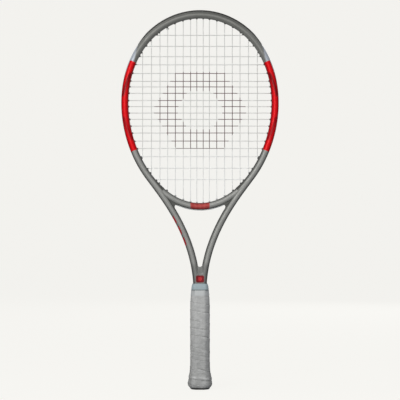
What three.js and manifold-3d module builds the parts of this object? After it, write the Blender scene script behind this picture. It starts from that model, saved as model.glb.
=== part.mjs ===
// Tennis racket, strung: a hairpin frame with its bridge, guards, strings and built-up handle.
// Millimetres. +Z runs from the butt to the tip of the head, +X to the right, and the string
// plane is y = 0. The origin is the centre of the butt end.

import * as THREE from 'three';
import { mergeVertices } from 'three/addons/utils/BufferGeometryUtils.js';
import Module from 'manifold-3d';

// ---------------------------------------------------------------- driving dimensions

// Head: an egg-shaped centre line, slightly wider above the middle.
const HEAD_CENTRE_Z = 504.4;
const HEAD_HALF_WIDTH = 135.5;
const HEAD_HALF_HEIGHT = 173.3;
const HEAD_EGG = 0.08;

// Frame tube: in-plane half width and half beam depth.
const TUBE_HALF = 6.5;
const ARM_HALF = 6.3;
const LEG_HALF = 5.9;
const BEAM_HALF = 11.5;
const LEG_BEAM_SCALE = 0.82;

// Throat arms: each leaves the head at ARM_START degrees and runs down to the shaft.
const ARM_START = -40;
const ARM_TOP_PULL = 40;
const ARM_FOOT_PULL = 103;
const ARM_FOOT_LEAN = 0.04;
const LEG_X = 5.8;
const SHAFT_FOOT_Z = 186;
const LEG_TAPER_Z = 177.6;
const LEG_FOOT_Z = 8.3;
const THROAT_FOOT_Z = 225.6;
const THROAT_FOOT_RADIUS = 4.2;
const WEB_UPPER_HALF = 11.2;
const WEB_LOWER_HALF = 9.2;
const WEB_STEP_Z = 178.5;
const LEG_BORE_HALF = { x: 3.9, y: 5.2 };
const LEG_BORE_TOP_Z = 168;
const LEG_FOAM_TOP_Z = 160;

// Bridge: closes the head between the arms.
const BRIDGE_END = -57;
const BRIDGE_HALF = 6.15;
const BRIDGE_BEAM_SCALE = 0.92;

// Channel round the outside of the head, the guards in it, and the bores for the strings.
const GROOVE_FLOOR = 3.5;
const GROOVE_HALF = 4.6;
const GUARD_FLOOR = 5.0;
const GUARD_CHANNEL_HALF = 3.2;
const GUARD_LIP = 6.3;
const BUMPER_TOP = 8.1;
const BUMPER_END = 41.6;
const STRIP_START = 41.3;
const STRIP_FOOT_T = 0.41;
const BRIDGE_STRIP_END = -68.3;
const HOLE_RADIUS = 2.0;
const BARREL_RADIUS = 1.65;
const BORE_RADIUS = 1.0;
const HOLE_SIDES = 5;
const BARREL_PROUD = 1.3;
const BORE_RUN_OUT = 2.5;
const GAP = 0.3;

// Strings: 16 mains (half of them listed, from the middle out) and 19 crosses.
const STRING_RADIUS = 0.65;
const STRING_LANE = 5.8;
const STRING_BEND = 8.4;
const STRING_TAIL = 4.0;
const LANE_SHIFT = 2.1;
const WEAVE = 1.4;
const CROSS_HOLE_Y = 1.2;
const MAIN_X = [5.8, 17, 30.3, 44.6, 58.5, 72.4, 87.8, 103.8];
const BRIDGE_MAINS = 4;
const CROSS_Z = [
  640.5, 620.5, 601.9, 587.2, 571.5, 557.3, 547.2, 535.6, 522.5, 511.5,
  499.9, 488.5, 476.4, 463.8, 449.2, 435.8, 421.0, 400.1, 379.5,
];

// Handle: octagonal, flattened across the beam. Half widths are across the flats along X.
const HANDLE_FLATTEN = 0.885;
const FRONT_FLAT_WIDEN = 1.32;
const PALLET_HALF = 15.9;
const PALLET_FOOT_Z = 8;
const PALLET_TOP_Z = 176;
const GRIP_HALF = 18.1;
const CAP_RIM_HALF = 18.2;
const DOOR_HALF = 11.7;
const COLLAR_Z = [179.6, 191.5];
const STAPLE = { crown: 5, leg: 4.3, outer: 17.8, under: 17.2, tip: 14.3, wire: 1, z: 28 };
const TACK_SHARE = 0.8;
const PALLET_SPLIT = 0.15;
const FOAM_CLEARANCE = 0.4;

// ---------------------------------------------------------------- geometry helpers

const wasm = await Module();
wasm.setup();

const rad = THREE.MathUtils.degToRad;

// Turns a closed geometry into a solid that can be joined and cut.
function toSolid(geometry) {
  const bare = geometry.clone();
  bare.deleteAttribute('normal');
  bare.deleteAttribute('uv');
  const merged = mergeVertices(bare, 1e-4);
  const kept = [];
  const index = merged.index.array;
  for (let i = 0; i < index.length; i += 3) {
    const [a, b, c] = index.subarray(i, i + 3);
    if (a !== b && b !== c && c !== a) kept.push(a, b, c);
  }
  return new wasm.Manifold(new wasm.Mesh({
    numProp: 3,
    vertProperties: merged.attributes.position.array,
    triVerts: new Uint32Array(kept),
  }));
}

function toGeometry(solid) {
  const mesh = solid.getMesh();
  const geometry = new THREE.BufferGeometry();
  geometry.setAttribute('position', new THREE.BufferAttribute(mesh.vertProperties, 3));
  geometry.setIndex(new THREE.BufferAttribute(mesh.triVerts, 1));
  geometry.computeVertexNormals();
  return geometry;
}

const joined = (solids) => solids.reduce((sum, solid) => sum.add(solid));
const cut = (solid, cutters) => cutters.reduce((rest, cutter) => rest.subtract(cutter), solid);

// A closed outline that is the same on both sides of the string plane: half of its points are
// given, from the outermost round to the innermost, all with v > 0.
function mirroredSection(points) {
  const upper = points.map(([u, v]) => new THREE.Vector2(u, v));
  const lower = points.map(([u, v]) => new THREE.Vector2(u, -v)).reverse();
  return new THREE.Shape([...lower, ...upper]);
}

function roundSection(radius, sides) {
  const points = Array.from({ length: sides }, (_, i) => {
    const angle = (2 * Math.PI * i) / sides;
    return new THREE.Vector2(radius * Math.cos(angle), radius * Math.sin(angle));
  });
  return new THREE.Shape(points);
}

// A station is a point of a route in the XZ plane with its outward normal. A swept section's
// u axis follows the normal and its v axis crosses the beam.
function station(x, z, normalX, normalZ, wide = 1, deep = 1, y = 0) {
  return { x, y, z, normalX, normalZ, wide, deep };
}

const mirrorStation = (s) => ({ ...s, x: -s.x, normalX: -s.normalX });

// Extrudes the section one unit per station and then carries each slice to its station.
function sweep(section, stations) {
  const steps = stations.length - 1;
  const geometry = new THREE.ExtrudeGeometry(section, { depth: steps, steps, bevelEnabled: false });
  const position = geometry.attributes.position;
  for (let i = 0; i < position.count; i += 1) {
    const s = stations[Math.round(position.getZ(i))];
    const u = position.getX(i) * s.wide;
    const v = position.getY(i) * s.deep;
    position.setXYZ(i, s.x + s.normalX * u, s.y - v, s.z + s.normalZ * u);
  }
  return toSolid(geometry);
}

// A straight rod between two points of the string plane's offset y.
function rod(from, to, y, radius, sides = HOLE_SIDES) {
  const start = new THREE.Vector3(from.x, y, from.z);
  const end = new THREE.Vector3(to.x, y, to.z);
  const along = end.clone().sub(start);
  const geometry = new THREE.CylinderGeometry(radius, radius, along.length(), sides);
  const turn = new THREE.Quaternion().setFromUnitVectors(
    new THREE.Vector3(0, 1, 0), along.clone().normalize());
  geometry.applyQuaternion(turn);
  const middle = start.add(end).multiplyScalar(0.5);
  geometry.translate(middle.x, middle.y, middle.z);
  return toSolid(geometry);
}

function block(x, y, z) {
  const geometry = new THREE.BoxGeometry(x[1] - x[0], y[1] - y[0], z[1] - z[0]);
  geometry.translate((x[0] + x[1]) / 2, (y[0] + y[1]) / 2, (z[0] + z[1]) / 2);
  return toSolid(geometry);
}

// An octagonal turning from [half width across flats, z] points, flats facing X and Y. The
// front and back flats are the wide ones.
function octagonal(profile) {
  const corner = 1 / Math.cos(Math.PI / 8);
  const points = profile.map(([half, z]) => new THREE.Vector2(half * corner, z));
  const geometry = new THREE.LatheGeometry(points, 8, Math.PI / 8);
  geometry.rotateX(Math.PI / 2);
  const position = geometry.attributes.position;
  for (let i = 0; i < position.count; i += 1) {
    const x = position.getX(i);
    const y = position.getY(i);
    const isFrontCorner = Math.abs(y) > Math.abs(x);
    position.setXY(i, isFrontCorner ? x * FRONT_FLAT_WIDEN : x, y * HANDLE_FLATTEN);
  }
  return toSolid(geometry);
}

// A vertical route used for pieces threaded on the shaft, from its top down.
function shaftStations(rows) {
  return rows.map(([z, wide, deep]) => station(0, z, 1, 0, wide, deep));
}

// Finds where a steadily changing function passes zero.
function solve(f, low, high) {
  const rising = f(high) > f(low);
  for (let i = 0; i < 50; i += 1) {
    const middle = (low + high) / 2;
    if ((f(middle) > 0) === rising) high = middle;
    else low = middle;
  }
  return (low + high) / 2;
}

// ---------------------------------------------------------------- routes of the frame

// Centre line of the head at an angle, travelling clockwise from the tip (90 degrees).
function headStation(degrees, wide = 1, deep = 1) {
  const sin = Math.sin(rad(degrees));
  const cos = Math.cos(rad(degrees));
  const dx = HEAD_HALF_WIDTH * (sin * (1 + HEAD_EGG * sin) - HEAD_EGG * cos * cos);
  const dz = -HEAD_HALF_HEIGHT * cos;
  const length = Math.hypot(dx, dz);
  const x = HEAD_HALF_WIDTH * cos * (1 + HEAD_EGG * sin);
  return station(x, HEAD_CENTRE_Z + HEAD_HALF_HEIGHT * sin, -dz / length, dx / length, wide, deep);
}

const offsetPoint = (s, u) => ({ x: s.x + s.normalX * u * s.wide, z: s.z + s.normalZ * u * s.wide });

const armTop = headStation(ARM_START);
const armCurve = new THREE.CubicBezierCurve(
  new THREE.Vector2(armTop.x, armTop.z),
  new THREE.Vector2(armTop.x + armTop.normalZ * ARM_TOP_PULL, armTop.z - armTop.normalX * ARM_TOP_PULL),
  new THREE.Vector2(LEG_X + ARM_FOOT_LEAN * ARM_FOOT_PULL, SHAFT_FOOT_Z + ARM_FOOT_PULL),
  new THREE.Vector2(LEG_X, SHAFT_FOOT_Z),
);

function armStation(t) {
  const point = armCurve.getPoint(t);
  const tangent = armCurve.getTangent(t);
  const wide = THREE.MathUtils.lerp(1, ARM_HALF / TUBE_HALF, Math.min(1, t * 3));
  return station(point.x, point.y, -tangent.y, tangent.x, wide);
}

const HEAD_STEP = 6.5;
const HEAD_STEPS = 20;
const ARM_STEPS = 12;
const headStations = Array.from({ length: HEAD_STEPS + 1 }, (_, k) => headStation(90 - HEAD_STEP * k));
const armStations = Array.from({ length: ARM_STEPS }, (_, k) => armStation((k + 1) / ARM_STEPS));
const legWide = LEG_HALF / TUBE_HALF;
const legStations = [
  station(LEG_X, LEG_TAPER_Z, 1, 0, legWide, LEG_BEAM_SCALE),
  station(LEG_X, LEG_FOOT_Z, 1, 0, legWide, LEG_BEAM_SCALE),
];

// A whole route from its right half, which starts at the tip of the head.
function wholeRoute(rightHalf) {
  const leftHalf = rightHalf.slice(1).map(mirrorStation).reverse();
  return [...leftHalf, ...rightHalf];
}

// Signed distance of a point from the arm's centre line, positive outside.
function armOffset(x, z) {
  let best = Infinity;
  let offset = 0;
  for (let k = 0; k <= 200; k += 1) {
    const s = armStation(k / 200);
    const distance = Math.hypot(x - s.x, z - s.z);
    if (distance < best) {
      best = distance;
      offset = ((x - s.x) * s.normalX + (z - s.z) * s.normalZ) / s.wide;
    }
  }
  return offset;
}

// ---------------------------------------------------------------- string holes

// A hole is where a string passes the frame. bend is where the string meets its own line just
// inside the head, inner and outer are the ends of the bore, lane is in the outer channel.
function headHole(degrees, y) {
  const s = headStation(degrees);
  const along = (distance) => ({ x: s.x + s.normalX * distance, z: s.z + s.normalZ * distance });
  const lane = degrees > ARM_START
    ? STRING_LANE
    : solve((d) => { const p = along(d); return armOffset(p.x, p.z) - STRING_LANE; }, 0, 30);
  return {
    y,
    bend: along(-STRING_BEND),
    tip: along(-TUBE_HALF - BARREL_PROUD),
    through: along(lane + BORE_RUN_OUT),
    lane: along(lane),
    tail: along(lane - STRING_LANE + STRING_TAIL),
    laneDegrees: degrees,
  };
}

function bridgeHole(x) {
  const inner = solve((a) => offsetPoint(headStation(a), -STRING_BEND).x - x, -90, -50);
  const outer = solve((a) => offsetPoint(headStation(a), STRING_LANE).x - x, -90, -50);
  const top = offsetPoint(headStation(inner), -STRING_BEND).z;
  const lane = offsetPoint(headStation(outer), STRING_LANE * (BRIDGE_HALF / TUBE_HALF)).z;
  const at = (z) => ({ x, z });
  return {
    y: 0,
    bend: at(top),
    tip: at(top - STRING_BEND + TUBE_HALF + BARREL_PROUD),
    through: at(lane - BORE_RUN_OUT),
    lane: at(lane),
    laneDegrees: outer,
  };
}

function flipHole(hole) {
  const flip = (p) => (p ? { x: -p.x, z: p.z } : p);
  const { y, laneDegrees, ...points } = hole;
  const flipped = Object.fromEntries(Object.entries(points).map(([key, p]) => [key, flip(p)]));
  return { ...flipped, y, laneDegrees: 180 - laneDegrees };
}

const headAngleAtX = (x, low, high) =>
  solve((a) => offsetPoint(headStation(a), -STRING_BEND).x - x, low, high);
const headAngleAtZ = (z) => solve((a) => offsetPoint(headStation(a), -STRING_BEND).z - z, -80, 80);

const mainTops = MAIN_X.map((x) => headHole(headAngleAtX(x, 20, 90), 0));
const mainFeet = MAIN_X.map((x, i) =>
  (i < BRIDGE_MAINS ? bridgeHole(x) : headHole(headAngleAtX(x, -80, -10), 0)));

// Columns run 1 to 16 from left to right. A cross passes in front of a main or behind it by
// turns, and its holes sit on the side where it last passed.
const mainColumns = [...MAIN_X.map((x) => -x).reverse(), ...MAIN_X];
const weaveSign = (row, column) => ((row + column) % 2 === 0 ? 1 : -1);

const crosses = CROSS_Z.map((z, i) => {
  const row = i + 1;
  const degrees = headAngleAtZ(z);
  const reach = headHole(degrees, 0).bend.x;
  const passed = mainColumns
    .map((x, k) => ({ x, y: WEAVE * weaveSign(row, k + 1) }))
    .filter((p) => Math.abs(p.x) < reach);
  const left = flipHole(headHole(degrees, Math.sign(passed[0].y) * CROSS_HOLE_Y));
  const right = headHole(degrees, Math.sign(passed[passed.length - 1].y) * CROSS_HOLE_Y);
  return { z, passed, left, right };
});

const both = (holes) => holes.flatMap((hole) => [hole, flipHole(hole)]);
const bridgeHoles = both(mainFeet.slice(0, BRIDGE_MAINS));
const rightSideHoles = [
  ...crosses.map((cross) => cross.right),
  ...mainFeet.slice(BRIDGE_MAINS),
  ...mainTops,
];
const leftSideHoles = [
  ...crosses.map((cross) => cross.left),
  ...both([...mainFeet.slice(BRIDGE_MAINS), ...mainTops]).filter((hole) => hole.bend.x < 0),
];
const isBumperHole = (hole) => hole.laneDegrees > BUMPER_END && hole.laneDegrees < 180 - BUMPER_END;
const isNearBridge = (hole) =>
  Math.min(hole.laneDegrees, 180 - hole.laneDegrees) < BRIDGE_END + 10;
const frameHoles = [...rightSideHoles, ...leftSideHoles];

const drillings = (holes) => holes.map((hole) => rod(hole.tip, hole.through, hole.y, HOLE_RADIUS));
const barrels = (holes) => holes.map((hole) => rod(hole.tip, hole.through, hole.y, BARREL_RADIUS));

function bores(holes) {
  return holes.map((hole) => {
    const along = new THREE.Vector2(hole.tip.x - hole.through.x, hole.tip.z - hole.through.z);
    along.setLength(1);
    const past = { x: hole.tip.x + along.x, z: hole.tip.z + along.y };
    return rod(past, hole.through, hole.y, BORE_RADIUS);
  });
}

// ---------------------------------------------------------------- frame and bridge

// Aero section: flat sides, and faces that rise to a narrow crest.
function tubeSection(grow = 0) {
  return mirroredSection([
    [TUBE_HALF + grow, 7.6 + grow / 2],
    [3.6 + grow, 10.6 + grow],
    [1.3, BEAM_HALF + grow],
    [-1.3, BEAM_HALF + grow],
    [-3.6 - grow, 10.6 + grow],
    [-TUBE_HALF - grow, 7.2 + grow / 2],
  ]);
}

const grooveSection = mirroredSection([[9.5, GROOVE_HALF], [GROOVE_FLOOR, GROOVE_HALF]]);
const stripArmSteps = Math.ceil(STRIP_FOOT_T * ARM_STEPS);
const grooveRoute = wholeRoute([
  ...headStations,
  ...armStations.slice(0, stripArmSteps - 1),
  armStation(STRIP_FOOT_T + 0.01),
]);

// The web fills the shaft between the two legs and rounds off the foot of the throat.
function shaftWeb() {
  const lap = 0.1;
  const part = (half, low, high) => block([-LEG_X, LEG_X], [-half, half], [low, high]);
  const upper = part(WEB_UPPER_HALF, WEB_STEP_Z - lap, THROAT_FOOT_Z);
  const lower = part(WEB_LOWER_HALF, LEG_FOOT_Z, WEB_STEP_Z + lap);
  const notch = new THREE.CylinderGeometry(THROAT_FOOT_RADIUS, THROAT_FOOT_RADIUS, 40, 16);
  notch.translate(0, 0, THROAT_FOOT_Z);
  return cut(joined([upper, lower]), [toSolid(notch)]);
}

// What fills a leg's bore, less a clearance all round.
function legCore(side, clearance, low, high) {
  const x = LEG_BORE_HALF.x - clearance;
  const y = LEG_BORE_HALF.y - clearance;
  return block([side * LEG_X - x, side * LEG_X + x], [-y, y], [low, high]);
}

const legBore = (side) => legCore(side, 0, LEG_FOOT_Z - 2, LEG_BORE_TOP_Z);

const gussetAngles = [-34, -39.75, -45.5, -51.25, BRIDGE_END];
const gussetRoute = gussetAngles.map((a) => headStation(a));

function frameSolid() {
  const hairpin = sweep(tubeSection(), wholeRoute([...headStations, ...armStations, ...legStations]));
  const gussets = [
    sweep(tubeSection(), gussetRoute),
    sweep(tubeSection(), gussetRoute.map(mirrorStation).reverse()),
  ];
  const whole = joined([hairpin, ...gussets, shaftWeb()]);
  return cut(whole, [
    sweep(grooveSection, grooveRoute),
    ...drillings(frameHoles),
    legBore(-1),
    legBore(1),
  ]);
}

const bridgeWide = BRIDGE_HALF / TUBE_HALF;
const bridgeEndGap = 0.13;

function bridgeRoute(end, steps) {
  return Array.from({ length: steps + 1 }, (_, k) =>
    headStation(end - (k / steps) * 2 * (90 + end), bridgeWide, BRIDGE_BEAM_SCALE));
}

function bridgeSolid() {
  const beam = sweep(tubeSection(), bridgeRoute(BRIDGE_END - bridgeEndGap, 12));
  const armRoute = [headStations[HEAD_STEPS], ...armStations];
  const roomSection = tubeSection(GAP + 0.05);
  const armRoom = sweep(roomSection, armRoute);
  const armRoomLeft = sweep(roomSection, armRoute.map(mirrorStation).reverse());
  return cut(beam, [
    armRoom,
    armRoomLeft,
    sweep(grooveSection, bridgeRoute(BRIDGE_STRIP_END + 0.2, 8)),
    ...drillings(bridgeHoles),
    ...drillings(frameHoles.filter(isNearBridge)),
  ]);
}

// ---------------------------------------------------------------- guards

const guardHalf = GROOVE_HALF - GAP;
const guardBase = GROOVE_FLOOR + GAP;
const stripSection = mirroredSection([[GUARD_LIP, guardHalf], [guardBase, guardHalf]]);
const bumperSection = mirroredSection([
  [BUMPER_TOP, 5.2],
  [7.7, 7.6],
  [TUBE_HALF + GAP, 8.4],
  [TUBE_HALF + GAP, guardHalf],
  [guardBase, guardHalf],
]);
const channelSection = mirroredSection([
  [14, GUARD_CHANNEL_HALF + 0.6],
  [GUARD_FLOOR, GUARD_CHANNEL_HALF],
]);

function guardSolid(section, route, holes) {
  const body = joined([sweep(section, route), ...barrels(holes)]);
  return cut(body, [sweep(channelSection, carriedOn(route)), ...bores(holes)]);
}

// The same route with its two ends carried straight on past the guard.
function carriedOn(route) {
  const past = (end, next) => ({
    ...end,
    x: end.x + (end.x - next.x) * 0.5,
    z: end.z + (end.z - next.z) * 0.5,
  });
  return [past(route[0], route[1]), ...route, past(route[route.length - 1], route[route.length - 2])];
}

const bumperRoute = wholeRoute([...headStations.slice(0, 8), headStation(BUMPER_END)]);
const sideRoute = [
  headStation(STRIP_START),
  ...headStations.slice(8),
  ...armStations.slice(0, stripArmSteps - 1),
  armStation(STRIP_FOOT_T),
];

// ---------------------------------------------------------------- strings

const bridgeLane = (degrees) => offsetPoint(headStation(degrees, bridgeWide), STRING_LANE);

// Points along the outer channel between two holes on the same side of the racket.
function channelLoop(from, to, y, laneAt, parts = 3) {
  return Array.from({ length: parts - 1 }, (_, k) => {
    const share = (k + 1) / parts;
    const p = laneAt(THREE.MathUtils.lerp(from.laneDegrees, to.laneDegrees, share));
    return { ...p, y };
  });
}

// The channel on the arm: a point on the straight line between two holes, pushed out to the lane.
function armLoop(from, to, y, parts = 4) {
  return Array.from({ length: parts - 1 }, (_, k) => {
    const share = (k + 1) / parts;
    const x = THREE.MathUtils.lerp(from.lane.x, to.lane.x, share);
    const z = THREE.MathUtils.lerp(from.lane.z, to.lane.z, share);
    const side = Math.sign(x);
    const lift = STRING_LANE - outsideOffset(Math.abs(x), z);
    const direction = outsideNormal(Math.abs(x), z);
    return { x: x + side * direction.x * lift, z: z + direction.z * lift, y };
  });
}

// Offset and normal of whichever centre line, head or arm, the outer channel follows there.
function nearestOutside(x, z) {
  const candidates = [
    ...Array.from({ length: 131 }, (_, k) => headStation(90 - k)),
    ...Array.from({ length: 101 }, (_, k) => armStation(k / 100)),
  ];
  return candidates.reduce((best, s) =>
    (Math.hypot(x - s.x, z - s.z) < Math.hypot(x - best.x, z - best.z) ? s : best));
}

function outsideOffset(x, z) {
  const s = nearestOutside(x, z);
  return (x - s.x) * s.normalX + (z - s.z) * s.normalZ;
}

function outsideNormal(x, z) {
  const s = nearestOutside(x, z);
  return { x: s.normalX, z: s.normalZ };
}

function stringSolid(points, sides) {
  const stations = points.map((p, i) => {
    const before = points[Math.max(0, i - 1)];
    const after = points[Math.min(points.length - 1, i + 1)];
    const into = new THREE.Vector2(p.x - before.x, p.z - before.z).normalize();
    const out = new THREE.Vector2(after.x - p.x, after.z - p.z).normalize();
    const along = into.add(out).normalize();
    return station(p.x, p.z, -along.y, along.x, 1, 1, p.y);
  });
  return sweep(roundSection(STRING_RADIUS, sides), stations);
}

const onHole = (hole, key) => ({ ...hole[key], y: hole.y });

// The mains are one length of string: down the outermost, back up the next, and so on across.
function mainString() {
  const order = [7, 6, 5, 4, 3, 2, 1, 0];
  const columns = [
    ...order.map((i) => ({ top: mainTops[i], foot: mainFeet[i] })),
    ...order.reverse().map((i) => ({ top: flipHole(mainTops[i]), foot: flipHole(mainFeet[i]) })),
  ];
  const points = [];
  columns.forEach(({ top, foot }, i) => {
    const down = i % 2 === 0;
    const [first, last] = down ? [top, foot] : [foot, top];
    points.push(onHole(first, i === 0 ? 'tail' : 'lane'), onHole(first, 'bend'));
    points.push(onHole(last, 'bend'), onHole(last, i === columns.length - 1 ? 'tail' : 'lane'));
    if (i === columns.length - 1) return;
    const next = down ? columns[i + 1].foot : columns[i + 1].top;
    const lane = LANE_SHIFT * Math.sign(last.bend.x);
    const isInner = Math.abs(last.bend.x) <= MAIN_X[BRIDGE_MAINS - 1];
    if (isInner && down) points.push(...channelLoop(last, next, 0, bridgeLane, 2));
    else points.push(...armLoop(last, next, isInner ? 0 : lane));
  });
  return stringSolid(points, 5);
}

// The crosses are one length too, woven over and under the mains from the head down.
function crossString() {
  const points = [];
  crosses.forEach(({ z, passed, left, right }, i) => {
    const toRight = i % 2 === 0;
    const [first, last] = toRight ? [left, right] : [right, left];
    const woven = passed.map((p) => ({ x: p.x, z, y: p.y }));
    if (!toRight) woven.reverse();
    points.push(onHole(first, i === 0 ? 'tail' : 'lane'), onHole(first, 'bend'));
    points.push(...woven);
    points.push(onHole(last, 'bend'), onHole(last, i === crosses.length - 1 ? 'tail' : 'lane'));
    if (i === crosses.length - 1) return;
    const next = toRight ? crosses[i + 1].right : crosses[i + 1].left;
    const lane = last.y === next.y ? LANE_SHIFT * Math.sign(last.y) : 0;
    points.push(...armLoop(last, next, lane, lane === 0 ? 2 : 4));
  });
  return stringSolid(points, 4);
}

// ---------------------------------------------------------------- handle

const legChannelSection = mirroredSection([
  [12.1, 6.6], [9.3, 9.1], [7.3, 9.9], [-7.3, 9.9], [-9.3, 9.1], [-12.1, 6.6],
]);

// A U-shaped staple, crown outwards along X; grow makes the slot it is driven into.
function staple(grow) {
  const crown = STAPLE.crown + grow;
  const leg = STAPLE.leg - grow;
  const outer = STAPLE.outer + grow;
  const under = STAPLE.under - grow;
  const tip = STAPLE.tip - grow;
  const shape = new THREE.Shape([
    new THREE.Vector2(outer, -crown),
    new THREE.Vector2(outer, crown),
    new THREE.Vector2(tip, crown),
    new THREE.Vector2(tip, leg),
    new THREE.Vector2(under, leg),
    new THREE.Vector2(under, -leg),
    new THREE.Vector2(tip, -leg),
    new THREE.Vector2(tip, -crown),
  ]);
  const height = STAPLE.wire + 2 * grow;
  const geometry = new THREE.ExtrudeGeometry(shape, { depth: height, bevelEnabled: false });
  geometry.translate(0, 0, STAPLE.z - height / 2);
  return geometry;
}

const rightStaple = (grow) => toSolid(staple(grow));
const leftStaple = (grow) => toSolid(staple(grow).rotateZ(Math.PI));

// The tack that pins the start of the grip is a smaller staple in the front flat.
function frontTack(grow) {
  const geometry = staple(grow).rotateZ(-Math.PI / 2);
  return toSolid(geometry.scale(TACK_SHARE, HANDLE_FLATTEN, 1));
}

const stapleSlots = () => [rightStaple(GAP), leftStaple(GAP), frontTack(GAP)];

function palletSolid(side) {
  const whole = octagonal([
    [0, PALLET_FOOT_Z], [PALLET_HALF, PALLET_FOOT_Z], [PALLET_HALF, 160], [15.0, PALLET_TOP_Z],
    [0, PALLET_TOP_Z],
  ]);
  const channel = sweep(legChannelSection, shaftStations([[200, 1, 1], [0, 1, 1]]));
  const otherHalf = side < 0 ? block([-30, 30], [-PALLET_SPLIT, 30], [0, 200])
    : block([-30, 30], [-30, PALLET_SPLIT], [0, 200]);
  return cut(whole, [channel, otherHalf, ...stapleSlots()]);
}

const legFoam = (side) =>
  legCore(side, FOAM_CLEARANCE, LEG_FOOT_Z + FOAM_CLEARANCE, LEG_FOAM_TOP_Z);

const buttCap = () => cut(octagonal([
  [DOOR_HALF + GAP, 0], [14.4, 0], [16.4, 0.8], [CAP_RIM_HALF, 3.4], [15.8, 3.5],
  [19.4, 8], [21.0, 14], [18.8, 25], [17.2, 33], [16.2, 33], [16.2, 7.7], [14.2, 7.7],
  [14.2, 3.6], [DOOR_HALF + GAP, 3.6], [DOOR_HALF + GAP, 0],
]), stapleSlots());

const buttCapDoor = () => octagonal([
  [0, 0.3], [DOOR_HALF - 0.5, 0.3], [DOOR_HALF, 0.8], [DOOR_HALF, 3.4], [10.4, 3.4],
  [10.4, 6.6], [9.0, 6.6], [9.0, 2.4], [0, 2.4],
]);

const gripSleeve = () => octagonal([
  [16.2, 3.8], [18.2, 3.8], [20.9, 6], [22.6, 10], [22.9, 13], [21.9, 18], [21.1, 23],
  [20.0, 27], [18.8, 34], [18.3, 42], [GRIP_HALF, 54], [GRIP_HALF, 150], [17.6, 162],
  [17.1, 168.4], [16.25, 170], [15.75, 176],
  [15.3, 176], [16.2, 160], [16.2, 33.6], [17.5, 33.4], [19.1, 25], [21.3, 14], [19.7, 8],
  [16.2, 3.8],
]);

const finishingTape = () => octagonal([
  [16.55, 170.3], [17.0, 170.3], [16.4, 178.6], [16.0, 178.6], [16.55, 170.3],
]);

const collarBore = mirroredSection([
  [12.9, 8.0], [10.2, 11.4], [8.2, 12.2], [-8.2, 12.2], [-10.2, 11.4], [-12.9, 8.0],
]);

function collarSolid() {
  const [foot, top] = COLLAR_Z;
  const outside = sweep(collarBore, shaftStations([
    [top, 1.03, 1.04], [top - 3.6, 1.15, 1.12], [foot + 3, 1.2, 1.15], [foot, 1.21, 1.15],
  ]));
  return cut(outside, [sweep(collarBore, shaftStations([[top + 5, 1, 1], [foot - 5, 1, 1]]))]);
}

// ---------------------------------------------------------------- assembly

const PAINT_GREY = { color: 0x8b8a86, roughness: 0.35, metalness: 0.2 };
const GUARD_BLACK = { color: 0x4a4947, roughness: 0.55, metalness: 0 };
const STRING_CLEAR = { color: 0xd8d6cf, roughness: 0.3, metalness: 0 };
const GRIP_GREY = { color: 0xa9a9a7, roughness: 0.8, metalness: 0 };
const HANDLE_FOAM = { color: 0xc9b98f, roughness: 0.9, metalness: 0 };
const CAP_BLACK = { color: 0x43423f, roughness: 0.5, metalness: 0 };
const STEEL = { color: 0xb9bcc0, roughness: 0.3, metalness: 1 };
const COLLAR_RUBBER = { color: 0x9fadb0, roughness: 0.6, metalness: 0 };

function node(name, solid, look) {
  const mesh = new THREE.Mesh(toGeometry(solid), new THREE.MeshStandardMaterial(look));
  mesh.name = name;
  return mesh;
}

const racket = new THREE.Group();
const head = new THREE.Group();
const handle = new THREE.Group();
racket.add(head, handle);

head.add(
  node('frame', frameSolid(), PAINT_GREY),
  node('bridge', bridgeSolid(), PAINT_GREY),
  node('bumper_guard', guardSolid(bumperSection, bumperRoute, frameHoles.filter(isBumperHole)),
    GUARD_BLACK),
  node('grommet_strip_right', guardSolid(stripSection, sideRoute,
    rightSideHoles.filter((hole) => !isBumperHole(hole))), GUARD_BLACK),
  node('grommet_strip_left', guardSolid(stripSection, sideRoute.map(mirrorStation).reverse(),
    leftSideHoles.filter((hole) => !isBumperHole(hole))), GUARD_BLACK),
  node('bridge_grommet_strip', guardSolid(stripSection, bridgeRoute(BRIDGE_STRIP_END, 8),
    bridgeHoles), GUARD_BLACK),
  node('main_string', mainString(), STRING_CLEAR),
  node('cross_string', crossString(), STRING_CLEAR),
);

handle.add(
  node('pallet_front', palletSolid(-1), HANDLE_FOAM),
  node('pallet_back', palletSolid(1), HANDLE_FOAM),
  node('leg_foam_left', legFoam(-1), HANDLE_FOAM),
  node('leg_foam_right', legFoam(1), HANDLE_FOAM),
  node('butt_cap', buttCap(), CAP_BLACK),
  node('butt_cap_door', buttCapDoor(), CAP_BLACK),
  node('butt_cap_staple_left', leftStaple(0), STEEL),
  node('butt_cap_staple_right', rightStaple(0), STEEL),
  node('grip_tack', frontTack(0), STEEL),
  node('grip', gripSleeve(), GRIP_GREY),
  node('finishing_tape', finishingTape(), GRIP_GREY),
  node('collar', collarSolid(), COLLAR_RUBBER),
);

export default racket;
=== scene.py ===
"""Looks of a strung tennis racket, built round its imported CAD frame.

Lengths are in millimetres in this script and become metres where a mesh is made. +Z runs from
the butt to the tip of the head, +X to the right, and the string plane is y = 0.
"""

import math

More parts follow.
